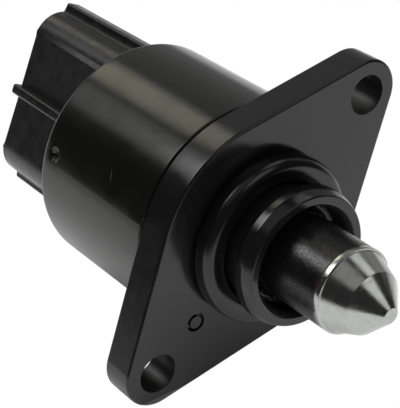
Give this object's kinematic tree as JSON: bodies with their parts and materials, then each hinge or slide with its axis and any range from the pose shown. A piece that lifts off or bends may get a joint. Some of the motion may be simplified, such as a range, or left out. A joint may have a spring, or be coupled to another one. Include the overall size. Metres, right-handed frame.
{
  "type": "idle air control valve",
  "caption": "Idle air control valve: a stepping motor in a black can with a two-bolt flange, a sealed nose and a metal cone that slides in and out, with a plug socket behind.",
  "frame": {"origin": "centre of the flange's mounting face, on the valve axis", "axes": "+Z along the valve axis towards the cone tip, +X along the flange through its two bolt holes, +Y across the flange"},
  "size_m": [0.0568, 0.034, 0.08],
  "materials": {
    "moulding_black": "glossy black glass-filled moulding",
    "can_black": "satin-gloss black coated drawn steel",
    "connector_black": "semi-gloss black moulding",
    "rubber_black": "oiled black rubber",
    "shank_black": "glossy black moulding",
    "tip_metal": "bright turned metal",
    "terminal_tin": "tinned blades",
    "stator_steel": "zinc-plated pressed steel",
    "bobbin_nylon": "natural nylon",
    "winding_copper": "enamelled copper wire",
    "bearing_steel": "ground bearing steel",
    "cage_brass": "pressed cage",
    "bush_bronze": "sintered bronze",
    "magnet_ferrite": "dark grey ferrite",
    "insert_brass": "turned brass",
    "screw_steel": "rolled steel thread"
  },
  "bodies": {
    "housing": {"flange_housing": "moulding_black", "motor_can": "can_black", "connector_housing": "connector_black", "o_ring": "rubber_black", "can_seal": "rubber_black", "terminal_1": "terminal_tin", "terminal_2": "terminal_tin", "terminal_3": "terminal_tin", "terminal_4": "terminal_tin", "front_stator_cup": "stator_steel", "front_pole_plate": "stator_steel", "rear_pole_plate": "stator_steel", "rear_stator_cup": "stator_steel", "front_bobbin": "bobbin_nylon", "rear_bobbin": "bobbin_nylon", "front_winding": "winding_copper", "rear_winding": "winding_copper", "bearing_spring": "bearing_steel", "bearing_outer_race": "bearing_steel", "rear_bush": "bush_bronze"},
    "rotor": {"rotor_magnet": "magnet_ferrite", "rotor_hub": "bobbin_nylon", "threaded_insert": "insert_brass", "thrust_washer": "stator_steel", "bearing_inner_race": "bearing_steel"},
    "ball_set": {"bearing_balls": "bearing_steel", "bearing_cage": "cage_brass"},
    "pintle": {"lead_screw": "screw_steel", "pintle_sleeve": "shank_black", "pintle_tip": "tip_metal"}
  },
  "joints": [
    {"name": "rotor_spin", "type": "hinge", "parent": "housing", "child": "rotor", "pos_m": [0, 0, -0.016], "axis": [0, 0, 1], "range_deg": [-720, 2700]},
    {"name": "ball_set_spin", "type": "hinge", "parent": "housing", "child": "ball_set", "pos_m": [0, 0, -0.0082], "axis": [0, 0, 1], "range_deg": [-289, 1083]},
    {"name": "pintle_slide", "type": "slide", "parent": "housing", "child": "pintle", "axis": [0, 0, 1], "range_m": [-0.0075, 0.002]}
  ],
  "couplings": [
    {"joint": "ball_set_spin", "follows": "rotor_spin", "ratio": 0.4008},
    {"joint": "pintle_slide", "follows": "rotor_spin", "m_per_rad": -0.00015915}
  ]
}
